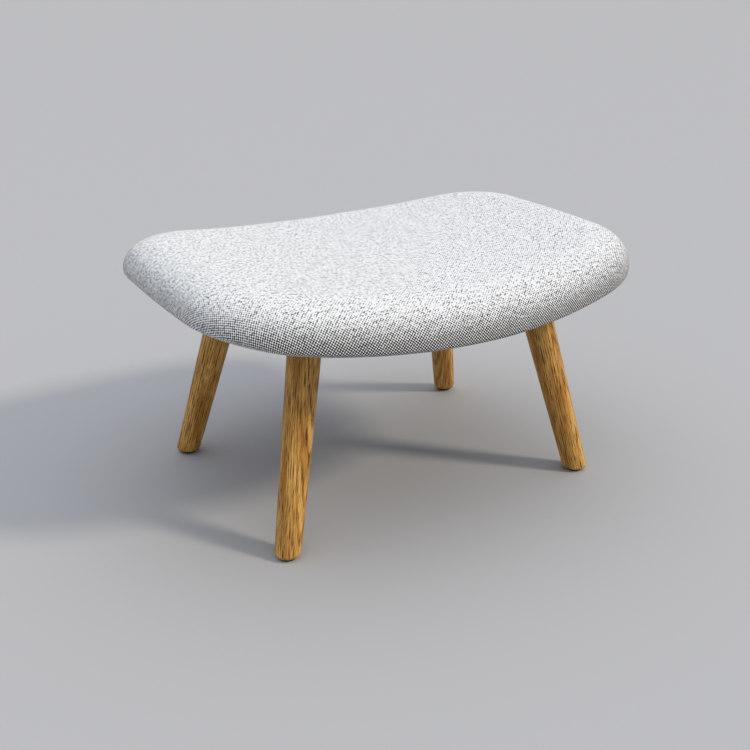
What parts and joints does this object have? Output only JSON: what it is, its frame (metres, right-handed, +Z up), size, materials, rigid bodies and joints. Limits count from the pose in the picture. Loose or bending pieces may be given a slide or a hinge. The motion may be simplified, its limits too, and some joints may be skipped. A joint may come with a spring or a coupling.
{
  "type": "footstool",
  "caption": "Upholstered footstool: saddle-shaped cushion in light grey woven wool on splayed, tapered round oak legs",
  "frame": {"origin": "on the floor under the middle of the seat", "axes": "+X along the long side of the seat, +Y to the back, +Z up"},
  "size_m": [0.669, 0.519, 0.356],
  "materials": {
    "oak": "solid oak, clear matt oil",
    "wool_cover": "light grey two-yarn woven wool, ribbed basket weave",
    "wadding": "white polyester wadding",
    "foam": "open-cell polyurethane foam, cream",
    "plywood": "bent birch plywood, sanded",
    "block_wood": "beech block, sanded",
    "zinc_steel": "zinc-plated steel",
    "liner_cloth": "thin black spun-bonded cloth",
    "glide_plastic": "black moulded plastic"
  },
  "bodies": {
    "root": {"seat_cover": "wool_cover", "wadding_layer": "wadding", "foam_pad": "foam", "seat_shell": "plywood", "bottom_liner": "liner_cloth", "block_screws": "zinc_steel", "hem_staples": "zinc_steel", "leg_front_left": "oak", "leg_block_front_left": "block_wood", "threaded_insert_front_left": "zinc_steel", "hanger_bolt_front_left": "zinc_steel", "glide_front_left": "glide_plastic", "glide_nail_front_left": "zinc_steel", "leg_front_right": "oak", "leg_block_front_right": "block_wood", "threaded_insert_front_right": "zinc_steel", "hanger_bolt_front_right": "zinc_steel", "glide_front_right": "glide_plastic", "glide_nail_front_right": "zinc_steel", "leg_back_left": "oak", "leg_block_back_left": "block_wood", "threaded_insert_back_left": "zinc_steel", "hanger_bolt_back_left": "zinc_steel", "glide_back_left": "glide_plastic", "glide_nail_back_left": "zinc_steel", "leg_back_right": "oak", "leg_block_back_right": "block_wood", "threaded_insert_back_right": "zinc_steel", "hanger_bolt_back_right": "zinc_steel", "glide_back_right": "glide_plastic", "glide_nail_back_right": "zinc_steel"}
  },
  "joints": []
}
